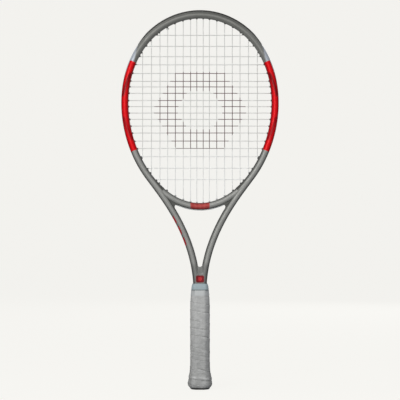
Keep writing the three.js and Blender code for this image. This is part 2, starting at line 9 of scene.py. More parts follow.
import bmesh
import bpy
import numpy as np
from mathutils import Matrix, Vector


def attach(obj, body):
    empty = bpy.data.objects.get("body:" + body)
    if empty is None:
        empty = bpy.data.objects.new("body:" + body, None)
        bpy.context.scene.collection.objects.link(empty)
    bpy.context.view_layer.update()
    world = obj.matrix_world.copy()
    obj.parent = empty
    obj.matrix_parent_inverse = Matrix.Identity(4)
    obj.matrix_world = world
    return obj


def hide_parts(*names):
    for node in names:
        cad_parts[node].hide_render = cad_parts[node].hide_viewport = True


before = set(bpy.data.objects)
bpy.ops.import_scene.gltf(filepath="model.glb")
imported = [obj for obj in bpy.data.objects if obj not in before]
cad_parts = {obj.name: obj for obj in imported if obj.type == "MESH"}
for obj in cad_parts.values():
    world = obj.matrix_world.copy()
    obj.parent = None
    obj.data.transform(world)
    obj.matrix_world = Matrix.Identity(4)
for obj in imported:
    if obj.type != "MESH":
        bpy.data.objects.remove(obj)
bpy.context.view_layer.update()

MM = 0.001

# ---- driving dimensions

# Head: an egg-shaped centre line, slightly wider above the middle.
HEAD_CENTRE_Z = 504.4
HEAD_HALF_WIDTH = 135.5
HEAD_HALF_HEIGHT = 173.3
HEAD_EGG = 0.08
HEAD_TIP = 90.0

# Frame tube: in-plane half width and half beam depth.
TUBE_HALF = 6.5
ARM_HALF = 6.3
LEG_HALF = 5.9
BEAM_HALF = 11.5
LEG_BEAM_SCALE = 0.82
TUBE_ROUNDING = 3.0

# Throat arms and shaft.
ARM_START = -40.0
ARM_TOP_PULL = 40.0
ARM_FOOT_PULL = 103.0
ARM_FOOT_LEAN = 0.04
LEG_X = 5.8
SHAFT_FOOT_Z = 186.0
LEG_TAPER_Z = 177.6
LEG_FOOT_Z = 8.3
THROAT_FOOT_Z = 225.6
THROAT_FOOT_RADIUS = 4.2
WEB_HALF = 11.1
WEB_TOP_HALF = 7.4
WEB_EASE_Z = 208.0
WEB_FOOT_Z = 178.5
THROAT_CORNER_RADIUS = 4.0
CORNER_HALF = 7.6

# Bridge.
BRIDGE_END = -57.0
BRIDGE_HALF = 6.0
BRIDGE_BEAM_SCALE = 0.92
GUSSET_START = -34.0
ARM_CLEARANCE = 0.2

# Channel, guards and bores.
GROOVE_FLOOR = 3.5
GROOVE_HALF = 4.6
GUARD_BASE = 3.8
GUARD_HALF = 4.3
GUARD_FLOOR = 5.0
CHANNEL_HALF = 3.2
GUARD_LIP = 6.3
BRIDGE_LIP = 8.4
BUMPER_TOP = 8.1
BUMPER_HALF = 8.4
BUMPER_END = 41.6
STRIP_START = 41.3
STRIP_FOOT_T = 0.41
BRIDGE_STRIP_END = -68.3
HOLE_RADIUS = 2.0
BARREL_RADIUS = 1.65
BORE_RADIUS = 0.8
BARREL_PROUD = 1.4
BORE_RUN_OUT = 2.5

# Strings.
STRING_RADIUS = 0.65
STRING_LANE = 5.8
STRING_BEND = 8.4
STRING_TAIL = 4.0
KNOT_MAIN = 4
KNOT_DROP = 1.2
KNOT_SIZE = 0.72
CROSS_WEAVE = 1.0
MAIN_WEAVE = 0.36
CROSS_HOLE_Y = 1.2
LANE_SHIFT = 2.1
BRIDGE_REACH = 50.0
MAIN_X = [5.8, 17, 30.3, 44.6, 58.5, 72.4, 87.8, 103.8]
BRIDGE_MAINS = 4
CROSS_Z = [
    640.5, 620.5, 601.9, 587.2, 571.5, 557.3, 547.2, 535.6, 522.5, 511.5,
    499.9, 488.5, 476.4, 463.8, 449.2, 435.8, 421.0, 400.1, 379.5,
]

# Handle: half widths are across the flats along X; along Y they are flattened.
HANDLE_FLATTEN = 0.885
FRONT_FLAT_HALF = 0.547
SIDE_FLAT_HALF = 0.366
GRIP_FOOT_Z = 3.8
GRIP_TOP_Z = 176.0
COLLAR_FOOT_Z = 179.6
COLLAR_TOP_Z = 191.5

# ---- mesh helpers


def shown(name, data):
    thing = bpy.data.objects.new(name, data)
    bpy.context.scene.collection.objects.link(thing)
    return thing


def new_piece(name, points, faces, crease=38.0):
    """A shown object from points in millimetres, smooth except where it creases."""
    mesh = bpy.data.meshes.new(name)
    mesh.from_pydata((np.asarray(points, float) * MM).tolist(), [], faces)
    shell = bmesh.new()
    shell.from_mesh(mesh)
    bmesh.ops.recalc_face_normals(shell, faces=shell.faces)
    shell.to_mesh(mesh)
    shell.free()
    return smooth(shown(name, mesh), crease)


def smooth(piece, crease):
    piece.data.shade_smooth()
    piece.data.set_sharp_from_angle(angle=math.radians(crease))
    return piece


def store(piece, name, values):
    """Keeps a number for each point, which the piece's material reads."""
    layer = piece.data.attributes.new(name, "FLOAT", "POINT")
    layer.data.foreach_set("value", values.astype(np.float32))


def ring_faces(rings, count, ends_meet=False):
    """Quads between rings of the same number of points, with an end face at each open end."""
    faces = []
    for i in range(rings if ends_meet else rings - 1):
        a, b = i * count, ((i + 1) % rings) * count
        faces += [(a + j, a + (j + 1) % count, b + (j + 1) % count, b + j) for j in range(count)]
    if not ends_meet:
        last = (rings - 1) * count
        faces.append(tuple(reversed(range(count))))
        faces.append(tuple(range(last, last + count)))
    return faces


def ring_piece(name, rings, crease=38.0, ends_meet=False):
    """A piece from an array of rings of points."""
    faces = ring_faces(len(rings), len(rings[0]), ends_meet)
    return new_piece(name, np.reshape(rings, (-1, 3)), faces, crease)


def boolean(piece, operation, cutters, crease=38.0):
    """Joins to or cuts from a piece, one cutter after another. The cutters are used up."""
    for cutter in cutters:
        change = piece.modifiers.new(operation, "BOOLEAN")
        change.operation = operation
        change.object = cutter
        change.solver = "MANIFOLD"
    graph = bpy.context.evaluated_depsgraph_get()
    mesh = bpy.data.meshes.new_from_object(piece.evaluated_get(graph))
    piece.modifiers.clear()
    piece.data = mesh
    for cutter in cutters:
        bpy.data.objects.remove(cutter)
    return smooth(piece, crease)


def mirrored(points):
    """A closed outline from its half with v > 0, given from the outermost u to the innermost."""
    upper = np.array(points, float)
    return np.vstack([upper[::-1] * [1, -1], upper])


def eased_corner(before, corner, after, reach, limit, steps=4):
    """A parabola inside a corner; limit is the most of an edge that it may take up."""
    back, on = before - corner, after - corner
    start = corner + back * min(limit, reach / np.linalg.norm(back))
    end = corner + on * min(limit, reach / np.linalg.norm(on))
    return [(1 - t) ** 2 * start + 2 * t * (1 - t) * corner + t * t * end
            for t in np.linspace(0, 1, steps + 1)]


def rounded(outline, reach, steps=4):
    """A closed outline with every corner eased."""
    points = []
    for i, corner in enumerate(outline):
        after = outline[(i + 1) % len(outline)]
        points += eased_corner(outline[i - 1], corner, after, reach, 0.48, steps)
    return np.array(points)


def stations(x, z, normal_x, normal_z, wide=1.0, deep=1.0):
    """Rows of a route in the XZ plane: its points, outward normals and section scales."""
    return np.column_stack(np.broadcast_arrays(x, z, normal_x, normal_z, wide, deep)).astype(float)


def mirror(rows):
    return rows * [-1, 1, -1, 1, 1, 1]


def whole_route(right_half):
    return np.vstack([mirror(right_half[:0:-1]), right_half])


def sweep(name, section, rows, crease=38.0):
    """Carries a section along a route: u follows the normal and v crosses the beam."""
    x, z, normal_x, normal_z, wide, deep = (column[:, None] for column in rows.T)
    u = section[:, 0] * wide
    v = section[:, 1] * deep
    points = np.stack([x + normal_x * u, -v, z + normal_z * u], axis=2)
    return ring_piece(name, points, crease)


def turn_angles(count):
    return np.linspace(0, 2 * np.pi, count, endpoint=False)


def circle(along, across, radius, sides):
    """Points round the origin, square to a direction."""
    angles = turn_angles(sides)[:, None]
    return radius * (np.cos(angles) * across + np.sin(angles) * np.cross(along, across))


def rods(name, ends, radius, sides=14):
    """Straight round rods in one mesh, each between two points."""
    points, faces = [], []
    for start, end in ends:
        along = (end - start) / np.linalg.norm(end - start)
        across = np.cross(along, [0.0, 1.0, 0.0] if abs(along[1]) < 0.9 else [1.0, 0.0, 0.0])
        across /= np.linalg.norm(across)
        ring = circle(along, across, radius, sides)
        first = len(points)
        points += [*(start + ring), *(end + ring)]
        faces += [tuple(first + k for k in face) for face in ring_faces(2, sides)]
    return new_piece(name, points, faces)


def tube(name, route, radius, sides=10):
    """A round string along a smooth route of points."""
    route = np.asarray(route, float)
    tangent = np.gradient(route, axis=0)
    tangent /= np.linalg.norm(tangent, axis=1)[:, None]
    across = np.cross(tangent[0], [0.0, 1.0, 0.0])
    rings = []
    for point, along in zip(route, tangent):
        across = across - along * (across @ along)
        across /= np.linalg.norm(across)
        rings.append(point + circle(along, across, radius, sides))
    return ring_piece(name, rings, 60)


def solve(f, low, high):
    """Where a steadily changing function passes zero."""
    rising = f(high) > f(low)
    for _ in range(40):
        middle = (low + high) / 2
        if (f(middle) > 0) == rising:
            high = middle
        else:
            low = middle
    return (low + high) / 2


# ---- routes of the frame


def head(degrees, wide=1.0, deep=1.0):
    """Centre line of the head, travelling clockwise from the tip at 90 degrees."""
    angle = np.radians(np.atleast_1d(degrees).astype(float))
    sin, cos = np.sin(angle), np.cos(angle)
    dx = HEAD_HALF_WIDTH * (sin * (1 + HEAD_EGG * sin) - HEAD_EGG * cos * cos)
    dz = -HEAD_HALF_HEIGHT * cos
    length = np.hypot(dx, dz)
    x = HEAD_HALF_WIDTH * cos * (1 + HEAD_EGG * sin)
    z = HEAD_CENTRE_Z + HEAD_HALF_HEIGHT * sin
    return stations(x, z, -dz / length, dx / length, wide, deep)


def arm(t):
    """Centre line of the right throat arm, a cubic from the head (0) to the shaft (1)."""
    t = np.atleast_1d(t).astype(float)[:, None]
    x, z, normal_x, normal_z = head(ARM_START)[0, :4]
    p0 = np.array([x, z])
    p1 = p0 + ARM_TOP_PULL * np.array([normal_z, -normal_x])
    p3 = np.array([LEG_X, SHAFT_FOOT_Z])
    p2 = p3 + ARM_FOOT_PULL * np.array([ARM_FOOT_LEAN, 1.0])
    point = (1 - t) ** 3 * p0 + 3 * (1 - t) ** 2 * t * p1 + 3 * (1 - t) * t * t * p2 + t**3 * p3
    way = (1 - t) ** 2 * (p1 - p0) + 2 * (1 - t) * t * (p2 - p1) + t * t * (p3 - p2)
    way /= np.linalg.norm(way, axis=1)[:, None]
    wide = np.interp(3 * t[:, 0], [0, 1], [1, ARM_HALF / TUBE_HALF])
    return stations(point[:, 0], point[:, 1], -way[:, 1], way[:, 0], wide)


HEAD_ANGLES = np.arange(HEAD_TIP, ARM_START - 0.1, -2.0)
HEAD_ROWS = head(HEAD_ANGLES)
ARM_ROWS = arm(np.linspace(0, 1, 45)[1:])
LEG_ROWS = stations(LEG_X, [LEG_TAPER_Z, LEG_FOOT_Z], 1.0, 0.0, LEG_HALF / TUBE_HALF, LEG_BEAM_SCALE)
SPINE = np.vstack([HEAD_ROWS, ARM_ROWS])
SPINE_LENGTH = np.concatenate([[0], np.cumsum(np.hypot(*np.diff(SPINE[:, :2], axis=0).T))])


def nearest_spine(x, z):
    """Nearest row of the right half's centre line for each point, mirrored to that side."""
    gaps = np.hypot(np.abs(x)[:, None] - SPINE[:, 0], z[:, None] - SPINE[:, 1])
    return gaps.argmin(axis=1)


def along_at(degrees):
    """Length of the centre line from the tip to an angle of the head."""
    return float(np.interp(-degrees, -HEAD_ANGLES, SPINE_LENGTH[:len(HEAD_ROWS)]))


def mark_route(piece):
    """Stores each point's distance along the frame from the tip and its offset outwards."""
    x, _, z = np.array([vertex.co for vertex in piece.data.vertices]).T / MM
    k = nearest_spine(x, z)
    rows = SPINE[k]
    dx, dz = np.abs(x) - rows[:, 0], z - rows[:, 1]
    store(piece, "along", SPINE_LENGTH[k] + dx * rows[:, 3] - dz * rows[:, 2])
    store(piece, "across", dx * rows[:, 2] + dz * rows[:, 3])


# ---- string holes


def offset_point(row, distance):
    """A point beside a route, outwards from its row by a distance times the row's scale."""
    return row[:2] + row[2:4] * distance * row[4]


ARM_LINE = arm(np.linspace(0, 1, 201))


def arm_offset(point):
    """How far outwards a point is from the arm's centre line, the inverse of offset_point."""
    gaps = np.hypot(point[0] - ARM_LINE[:, 0], point[1] - ARM_LINE[:, 1])
    row = ARM_LINE[gaps.argmin()]
    return ((point[0] - row[0]) * row[2] + (point[1] - row[1]) * row[3]) / row[4]


def head_hole(degrees, y=0.0):
    """Where a string meets its line inside the head, passes the tube and enters the channel."""
    row = head(degrees)[0]
    lane = STRING_LANE
    if degrees <= ARM_START:
        lane = solve(lambda d: arm_offset(offset_point(row, d)) - STRING_LANE, 0, 30)
    return {
        "y": y,
        "bend": offset_point(row, -STRING_BEND),
        "tip": offset_point(row, -TUBE_HALF - BARREL_PROUD),
        "through": offset_point(row, lane + BORE_RUN_OUT),
        "lane": offset_point(row, lane),
        "tail": offset_point(row, lane - STRING_LANE + STRING_TAIL),
        "degrees": degrees,
    }


def bend_angle(axis, value, low, high):
    """Angle of the head at which the strings bend at a given x (axis 0) or z (axis 1)."""
    return solve(lambda a: offset_point(head(a)[0], -STRING_BEND)[axis] - value, low, high)


def bridge_hole(x):
    """The same as head_hole for a main that meets the bridge, where the hole is upright."""
    inner = bend_angle(0, x, -90, -50)
    outer = solve(lambda a: offset_point(head(a)[0], STRING_LANE)[0] - x, -90, -50)
    top = offset_point(head(inner)[0], -STRING_BEND)[1]
    lane = offset_point(head(outer)[0], STRING_LANE * BRIDGE_HALF / TUBE_HALF)[1]
    return {
        "y": 0.0,
        "bend": np.array([x, top]),
        "tip": np.array([x, top - STRING_BEND + TUBE_HALF + BARREL_PROUD]),
        "through": np.array([x, lane - BORE_RUN_OUT]),
        "lane": np.array([x, lane]),
        "degrees": outer,
    }


def flipped(hole):
    turned = {key: value * [-1, 1] for key, value in hole.items() if key not in ("y", "degrees")}
    return {**turned, "y": hole["y"], "degrees": 180 - hole["degrees"]}


def weave_sign(row, column):
    """1 where the cross passes in front of the main, -1 where it passes behind."""
    return 1 if (row + column) % 2 == 0 else -1


MAIN_TOPS = [head_hole(bend_angle(0, x, 20, 90)) for x in MAIN_X]
MAIN_FEET = [bridge_hole(x) for x in MAIN_X[:BRIDGE_MAINS]]
MAIN_FEET += [head_hole(bend_angle(0, x, -80, -10)) for x in MAIN_X[BRIDGE_MAINS:]]
COLUMNS = [-x for x in reversed(MAIN_X)] + MAIN_X


def cross_rows():
    """Each cross string: its height, where it passes the mains, and its two holes."""
    rows = []
    for i, z in enumerate(CROSS_Z):
        degrees = bend_angle(1, z, -80, 80)
        reach = head_hole(degrees)["bend"][0]
        passed = [(x, weave_sign(i, k)) for k, x in enumerate(COLUMNS) if abs(x) < reach]
        left = flipped(head_hole(degrees, passed[0][1] * CROSS_HOLE_Y))
        right = head_hole(degrees, passed[-1][1] * CROSS_HOLE_Y)
        rows.append({"z": z, "passed": passed, "left": left, "right": right})
    return rows


CROSSES = cross_rows()
MAIN_HEAD_HOLES = MAIN_TOPS + MAIN_FEET[BRIDGE_MAINS:]
BRIDGE_HOLES = MAIN_FEET[:BRIDGE_MAINS] + [flipped(h) for h in MAIN_FEET[:BRIDGE_MAINS]]
RIGHT_HOLES = [[c["right"] for c in CROSSES], MAIN_HEAD_HOLES]
LEFT_HOLES = [[c["left"] for c in CROSSES], [flipped(h) for h in MAIN_HEAD_HOLES]]


def in_bumper(hole):
    return BUMPER_END < hole["degrees"] < 180 - BUMPER_END


def at_hole(hole, key):
    """One of a hole's named places, with its y."""
    return np.array([hole[key][0], hole["y"], hole[key][1]])


def hole_ends(holes, past=0.0):
    """The two ends of each hole, the inner one carried past the barrel's tip."""
    ends = []
    for hole in holes:
        inner, outer = at_hole(hole, "tip"), at_hole(hole, "through")
        way = (inner - outer) / np.linalg.norm(inner - outer)
        ends.append((inner + way * past, outer))
    return ends


# ---- frame and bridge


def tube_section(grow=0.0):
    """Outline of the tube: flat inside and outside, ridged to the front and the back."""
    corners = [
        [TUBE_HALF + grow, 7.6 + grow / 2], [3.6 + grow, 10.6 + grow], [1.3, BEAM_HALF + grow],
        [-1.3, BEAM_HALF + grow], [-3.6 - grow, 10.6 + grow], [-TUBE_HALF - grow, 7.2 + grow / 2],
    ]
    return rounded(mirrored(corners), TUBE_ROUNDING)


GROOVE_SECTION = mirrored([[9.5, GROOVE_HALF], [GROOVE_FLOOR, GROOVE_HALF]])


def shaft_web():
    """Fills the shaft between the legs, thinner towards the throat, whose foot it rounds off."""
    levels = [(WEB_HALF, WEB_FOOT_Z), (WEB_HALF, WEB_EASE_Z), (WEB_TOP_HALF, THROAT_FOOT_Z)]
    web = ring_piece("web", [[(-LEG_X, -half, z), (LEG_X, -half, z), (LEG_X, half, z), (-LEG_X, half, z)]
                             for half, z in levels])
    return boolean(web, "DIFFERENCE", [pin("notch", 0.0, THROAT_FOOT_Z, THROAT_FOOT_RADIUS)])


def pin(name, x, z, radius):
    """A round rod right through the racket from front to back."""
    reach = 2 * BEAM_HALF
    return rods(name, [(np.array([x, -reach, z]), np.array([x, reach, z]))], radius, 48)


def throat_corner(side):
    """Fills the corner between the bridge and an arm, down to a round edge."""
    bridge_out = BRIDGE_HALF + THROAT_CORNER_RADIUS
    arm_in = ARM_HALF + THROAT_CORNER_RADIUS
    scale = ARM_HALF / TUBE_HALF
    angle = solve(lambda a: arm_offset(offset_point(head(a)[0], bridge_out)) * scale + arm_in,
                  BRIDGE_END - 25, BRIDGE_END)
    centre = offset_point(head(angle)[0], bridge_out)
    arm_row = ARM_LINE[np.hypot(*(ARM_LINE[:, :2] - centre).T).argmin()]
    outline = [centre, offset_point(head(angle)[0], 2.0), head(BRIDGE_END + 4)[0][:2],
               offset_point(arm_row, -2.0)]
    rings = [[(side * x, y, z) for x, z in outline] for y in (-CORNER_HALF, CORNER_HALF)]
    return boolean(ring_piece("corner_fill", rings), "DIFFERENCE", [
        pin("corner_round", side * centre[0], centre[1], THROAT_CORNER_RADIUS)])


def hairpin():
    """The tube from leg to leg round the head, with gussets that start the bridge."""
    section = tube_section()
    body = sweep("frame_tube", section, whole_route(np.vstack([SPINE, LEG_ROWS])))
    gusset = head(np.linspace(GUSSET_START, BRIDGE_END, 16))
    right = sweep("gusset_right", section, gusset)
    left = sweep("gusset_left", section, mirror(gusset)[::-1])
    return boolean(body, "UNION", [right, left])


def build_frame():
    fills = [shaft_web(), throat_corner(1), throat_corner(-1)]
    body = boolean(hairpin(), "UNION", fills)
    groove_rows = np.vstack([HEAD_ROWS, arm(np.linspace(0, STRIP_FOOT_T + 0.01, 16)[1:])])
    cutters = [sweep("groove", GROOVE_SECTION, whole_route(groove_rows))]
    cutters += [rods("drilling", hole_ends(holes), HOLE_RADIUS) for holes in RIGHT_HOLES + LEFT_HOLES]
    boolean(body, "DIFFERENCE", cutters, 30)
    mark_route(body)
    return body


def bridge_rows(end, count):
    return head(np.linspace(end, -180 - end, count), BRIDGE_HALF / TUBE_HALF, BRIDGE_BEAM_SCALE)


def build_bridge():
    beam = sweep("bridge_beam", tube_section(), bridge_rows(BRIDGE_END - 0.1, 35))
    arm_line = np.vstack([HEAD_ROWS[-1:], ARM_ROWS])
    around_arm = tube_section(ARM_CLEARANCE)
    return boolean(beam, "DIFFERENCE", [
        sweep("arm_room", around_arm, arm_line),
        sweep("arm_room_left", around_arm, mirror(arm_line)[::-1]),
        sweep("bridge_groove", GROOVE_SECTION, bridge_rows(BRIDGE_STRIP_END + 0.2, 25)),
        rods("bridge_drilling", hole_ends(BRIDGE_HOLES), HOLE_RADIUS),
    ], 30)


# ---- guards


def guard_section(lip, *shoulders):
    """A strip seated in the groove, with the string channel open along its outside."""
    inner = [[GUARD_FLOOR, CHANNEL_HALF], [lip, CHANNEL_HALF + 0.2]]
    return rounded(mirrored([*inner, *shoulders, [GUARD_BASE, GUARD_HALF]]), 0.45, 3)


def build_guard(name, section, rows, hole_sets):
    """A strip with a bored barrel at each of its holes."""
    body = sweep(name, section, rows, 32)
    barrels = [rods("barrel", hole_ends(holes), BARREL_RADIUS, 16) for holes in hole_sets]
    bores = [rods("bore", hole_ends(holes, 1.5), BORE_RADIUS, 12) for holes in hole_sets]
    boolean(body, "UNION", barrels)
    return boolean(body, "DIFFERENCE", [*bores, channel_cutter(rows)], 32)


def channel_cutter(rows):
    """Clears the barrels out of the string channel."""
    outline = mirrored([[14, CHANNEL_HALF + 0.6], [GUARD_FLOOR, CHANNEL_HALF - 0.05]])
    return sweep("channel", outline, rows)


def build_bumper():
    angles = np.linspace(HEAD_TIP, BUMPER_END, 34)
    rest = TUBE_HALF + 0.3
    section = guard_section(BUMPER_TOP, [BUMPER_TOP, 5.2], [7.7, 7.6], [rest, BUMPER_HALF],
                            [rest, GUARD_HALF])
    holes = [[h for h in side if in_bumper(h)] for side in RIGHT_HOLES + LEFT_HOLES]
    wide, deep = (np.interp(angles, [BUMPER_END, BUMPER_END + 9], [end, 1.0]) for end in (0.86, 0.8))
    return build_guard("bumper", section, whole_route(head(angles, wide, deep)), holes)


STRIP_ROWS = np.vstack([head(np.linspace(STRIP_START, ARM_START, 46)),
                        arm(np.linspace(0, STRIP_FOOT_T, 16)[1:])])


def build_strip(name, lip, rows, hole_sets):
    holes = [[h for h in side if not in_bumper(h)] for side in hole_sets]
    return build_guard(name, guard_section(lip, [lip, GUARD_HALF]), rows, holes)


# ---- strings


def softened(before, corner, after):
    """A string's way round one corner."""
    return [before, *eased_corner(before, corner, after, 2 * STRING_RADIUS, 0.45), after]


def woven(start, end, passes, steps=5):
    """Points between two bends that rise and fall in y as the string passes the others."""
    knots = [start, *passes, end]
    line = []
    for a, b in zip(knots, knots[1:]):
        for t in np.linspace(0, 1, steps, endpoint=False):
            ease = t * t * (3 - 2 * t)
            p = a + (b - a) * t
            line.append([p[0], a[1] + (b[1] - a[1]) * ease, p[2]])
    return [np.array(p) for p in line[1:]]


def one_length(ways, loop):
    """One string, to and fro. A way has two holes and its passes; every other one is reversed."""
    ways = [(b, a, passes[::-1]) if i % 2 else (a, b, passes) for i, (a, b, passes) in enumerate(ways)]
    route = []
    for i, (first, last, passes) in enumerate(ways):
        is_end = i == len(ways) - 1
        start = at_hole(first, "lane" if i else "tail")
        end = at_hole(last, "tail" if is_end else "lane")
        enter = softened(start, at_hole(first, "bend"), passes[0])
        leave = softened(passes[-1], at_hole(last, "bend"), end)
        route += enter[:-1] + woven(enter[-2], leave[1], passes) + leave[1:]
        if not is_end:
            route += loop(last, ways[i + 1][0])
    return route


def head_loop(first, last, lane_y, parts=8):
    """Points along the outer channel between two holes, eased over to a lane across the beam."""
    line = []
    for share in np.arange(1, parts) / parts:
        x, z = first["lane"] + (last["lane"] - first["lane"]) * share
        row = SPINE[nearest_spine(np.array([x]), np.array([z]))[0]]
        side = math.copysign(1.0, x)
        lift = STRING_LANE - ((abs(x) - row[0]) * row[2] + (z - row[1]) * row[3])
        ease = math.sin(math.pi * share) ** 0.5
        y = first["y"] + (last["y"] - first["y"]) * share
        y += (lane_y - y) * ease
        line.append(np.array([x + side * row[2] * lift, y, z + row[3] * lift]))
    return line


def bridge_loop(first, last, parts=6):
    angles = first["degrees"] + (last["degrees"] - first["degrees"]) * np.arange(1, parts) / parts
    rows = head(angles, BRIDGE_HALF / TUBE_HALF)
    return [np.insert(offset_point(row, STRING_LANE), 1, 0.0) for row in rows]


def main_loop(last, following):
    """Round the bridge below, round the head above, and to one side beyond the bridge."""
    x, z = last["bend"]
    if abs(x) > BRIDGE_REACH:
        return head_loop(last, following, math.copysign(LANE_SHIFT, x))
    if z < HEAD_CENTRE_Z:
        return bridge_loop(last, following)
    return head_loop(last, following, 0.0)


def main_route():
    """One length: down the outermost main, back up the next, and so on across the head."""
    right = list(zip(MAIN_TOPS, MAIN_FEET))
    ways = []
    for top, foot in right[::-1] + [(flipped(top), flipped(foot)) for top, foot in right]:
        x = top["bend"][0]
        column = int(np.abs(np.array(COLUMNS) - x).argmin())
        passes = [np.array([x, -MAIN_WEAVE * weave_sign(k, column), z]) for k, z in enumerate(CROSS_Z)
                  if foot["bend"][1] + 2 < z < top["bend"][1] - 2]
        ways.append((top, foot, passes))
    return one_length(ways, main_loop)


def build_knot():
    """The knot that ties off the mains, drawn up against the frame on an inner main."""
    column = -MAIN_X[KNOT_MAIN]
    top = MAIN_TOPS[KNOT_MAIN]["bend"][1] - KNOT_DROP
    t = np.linspace(0, 2 * np.pi, 73)
    swing = KNOT_SIZE * (2 + np.cos(3 * t))
    return tube("tie_off_knot", np.column_stack([
        column + swing * np.cos(2 * t), swing * np.sin(2 * t),
        top + KNOT_SIZE * 1.6 * np.sin(3 * t)]), STRING_RADIUS * 0.9)


def cross_loop(last, following):
    """To one side where both holes are on that side of the string plane."""
    side = math.copysign(LANE_SHIFT, last["y"]) if last["y"] == following["y"] else 0.0
    return head_loop(last, following, side)


def cross_route():
    """One length too, woven over and under the mains from the top of the head down."""
    ways = [(cross["left"], cross["right"],
             [np.array([x, CROSS_WEAVE * sign, cross["z"]]) for x, sign in cross["passed"]])
            for cross in CROSSES]
    return one_length(ways, cross_loop)


# ---- handle


def octagon(count, hardness):
    """Unit outline of the handle, with wide front and back flats; harder has sharper corners."""
    bevel = np.array([HANDLE_FLATTEN - SIDE_FLAT_HALF, 1 - FRONT_FLAT_HALF])
    bevel /= np.linalg.norm(bevel)
    signs = np.array([[1, 1], [-1, 1], [-1, -1], [1, -1]])
    facing = np.vstack([[[1, 0], [-1, 0], [0, 1], [0, -1]], signs * bevel])
    distance = np.array([1, 1, HANDLE_FLATTEN, HANDLE_FLATTEN] + 4 * [bevel @ [1, SIDE_FLAT_HALF]])
    angle = turn_angles(count)
    way = np.column_stack([np.cos(angle), np.sin(angle)])
    reach = np.clip(way @ facing.T / distance, 0, None) ** hardness
    return way * (reach.sum(axis=1) ** (-1 / hardness))[:, None]


def handle_rings(half, z, outline):
    """Points of the handle's section at each height; half has one value, or one a point."""
    half = np.broadcast_to(half, (len(z), len(outline)))
    across = half[:, :, None] * outline
    return np.concatenate([across, np.broadcast_to(z[:, None, None], (*half.shape, 1))], axis=2)


def octagonal(name, profile):
    """A turning with the handle's section from a closed loop of [half, z] points."""
    half, z = np.array(profile).T
    rings = handle_rings(half[:, None], z, octagon(96, MOULDED_HARDNESS))
    return ring_piece(name, rings, 35, True)


MOULDED_HARDNESS = 30.0
TAPE_HARDNESS = 20.0
GRIP_HARDNESS = 16.0
GRIP_PROFILE = [
    (18.4, 3.8), (20.6, 5.4), (21.8, 7.4), (22.3, 9.6), (22.3, 12), (21.6, 16), (20.7, 21),
    (19.9, 26), (18.7, 34), (18.1, 42), (17.8, 54), (17.8, 150), (17.4, 162), (16.9, 168.4),
    (16.25, 170.4), (15.75, 176),
]
GRIP_BORE = [(16.2, 160), (16.2, 33.6), (17.5, 33.4), (19.1, 25), (21.3, 14), (19.7, 8)]
# Where the laps cross the front; they fall to the right.
LAP_HEIGHTS = [-16, 4, 37, 53, 74.3, 96.9, 109.7, 123, 140.8, 155.6, 170, 186]
LAP_RISE = 0.45
SEAM_DEPTH = 0.5
BUTT_BAND_Z = 21.8
BUTT_BAND_TILT = 1.8
BUTT_BAND_RISE = 0.6
BUTT_CREASE_DEPTH = 0.55
TAPE_PROFILE = [(16.55, 170.2), (16.8, 170.1), (16.9, 170.6), (16.6, 173), (16.2, 176),
                (16.0, 178.9), (15.9, 179.3), (15.6, 179.2)]
COLLAR_BORE = [(12.9, 8.0), (10.2, 11.4), (8.2, 12.2), (-8.2, 12.2), (-10.2, 11.4), (-12.9, 8.0)]
# Scale of the bore's outline along X, along Y, and the height of each ring of the sleeve.
COLLAR_RINGS = [
    (1.0, 1.0, COLLAR_FOOT_Z), (1.2, 1.14, COLLAR_FOOT_Z), (1.21, 1.15, 179.9), (1.21, 1.15, 180.9),
    (1.205, 1.15, 182.6), (1.19, 1.145, 184.4), (1.165, 1.13, 186.8), (1.12, 1.10, 188.6),
    (1.06, 1.06, 190.2), (1.035, 1.045, 191.0), (1.02, 1.03, COLLAR_TOP_Z), (1.0, 1.0, 191.4),
]
CAP_PROFILE = [
    (12.0, 0.2), (12.2, 0), (14.2, 0), (15.3, 0.25), (16.4, 0.8), (17.4, 1.8), (18.0, 2.8),
    (18.1, 3.3), (17.8, 3.5), (15.8, 3.55), (19.4, 8), (21.0, 14), (18.8, 25), (17.2, 33),
    (16.2, 33), (16.2, 7.7), (14.2, 7.7), (14.2, 3.6), (12.0, 3.6),
]
LID_PROFILE = [
    (0.02, 0.9), (5.2, 0.9), (5.9, 0.75), (6.3, 0.4), (6.6, 0.3), (11.2, 0.3), (11.6, 0.5),
    (11.7, 0.9), (11.7, 3.3), (10.4, 3.4), (10.4, 6.4), (10.2, 6.6), (9.2, 6.6), (9.0, 6.4),
    (9.0, 2.4), (0.02, 2.4),
]


def grip_surface():
    """Outer half width and height of the wrapped grip, without the seams."""
    z = np.linspace(GRIP_FOOT_Z, GRIP_TOP_Z, 380)
    profile_half, profile_z = np.array(GRIP_PROFILE).T
    reach = 6
    window = np.hanning(2 * reach + 1)
    padded = np.pad(np.interp(z, profile_z, profile_half), reach, mode="edge")
    return np.convolve(padded, window / window.sum(), mode="valid"), z


def wrap_laps(level, turn):
    """How far below the next lap and above the last each place on the grip is."""
    index = np.interp(level, LAP_HEIGHTS, range(len(LAP_HEIGHTS))) + turn - 0.75
    height = np.interp(level, LAP_HEIGHTS[:-1], np.diff(LAP_HEIGHTS))
    share = index % 1.0
    return (1 - share) * height, share * height


